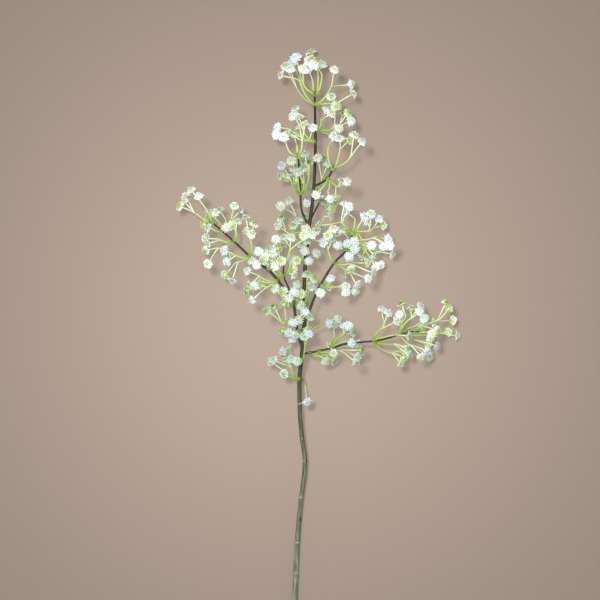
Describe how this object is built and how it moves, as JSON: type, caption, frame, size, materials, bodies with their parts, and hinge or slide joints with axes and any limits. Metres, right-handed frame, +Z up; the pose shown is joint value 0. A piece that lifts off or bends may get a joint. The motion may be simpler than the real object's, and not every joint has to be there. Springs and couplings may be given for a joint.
{
  "type": "artificial gypsophila stem",
  "caption": "Cut spray of artificial gypsophila: a long bare stem with branches and twigs, ringed by moulded sprigs of fine forked arms that end in small domed florets.",
  "frame": {"origin": "middle of the underside of the bounding box, on the surface that the stem lies on", "axes": "+Z up from the surface, +Y along the stem from its cut end to its crown, +X to the right seen from above"},
  "size_m": [0.2825, 0.6003, 0.0646],
  "materials": {
    "stem": "dull dark olive coating over a wire core",
    "sprig": "satin moulded plastic, lime green at the collar, cream along the pedicels, white on the florets"
  },
  "bodies": {
    "root": {"main_stem": "stem", "left_branch": "stem", "inner_twig": "stem", "right_branch": "stem", "low_branch": "stem", "left_twig": "stem", "middle_twig": "stem", "right_twig": "stem", "sprig_crown": "sprig", "sprig_crown_whorl": "sprig", "sprig_upper_right": "sprig", "sprig_upper_left": "sprig", "sprig_left_twig_tip": "sprig", "sprig_right_twig_tip": "sprig", "sprig_left_twig_whorl": "sprig", "sprig_leader_whorl": "sprig", "sprig_right_twig_whorl": "sprig", "sprig_middle_twig_tip": "sprig", "sprig_leader_fork": "sprig", "sprig_leader_low": "sprig", "sprig_centre_whorl": "sprig", "sprig_inner_tip": "sprig", "sprig_inner_whorl": "sprig", "sprig_left_low": "sprig", "sprig_left_whorl_1": "sprig", "sprig_left_whorl_2": "sprig", "sprig_left_whorl_3": "sprig", "sprig_left_whorl_4": "sprig", "sprig_left_whorl_5": "sprig", "sprig_left_whorl_6": "sprig", "sprig_left_whorl_7": "sprig", "sprig_left_tip": "sprig", "sprig_trunk_whorl_1": "sprig", "sprig_trunk_whorl_2": "sprig", "sprig_trunk_whorl_3": "sprig", "sprig_lowest": "sprig", "sprig_right_whorl_1": "sprig", "sprig_right_whorl_2": "sprig", "sprig_right_whorl_3": "sprig", "sprig_right_whorl_4": "sprig", "sprig_right_tip": "sprig", "sprig_low_whorl_1": "sprig", "sprig_low_whorl_2": "sprig", "sprig_low_whorl_3": "sprig", "sprig_low_whorl_4": "sprig", "sprig_low_whorl_5": "sprig", "sprig_low_whorl_6": "sprig", "sprig_low_tip": "sprig"}
  },
  "joints": []
}
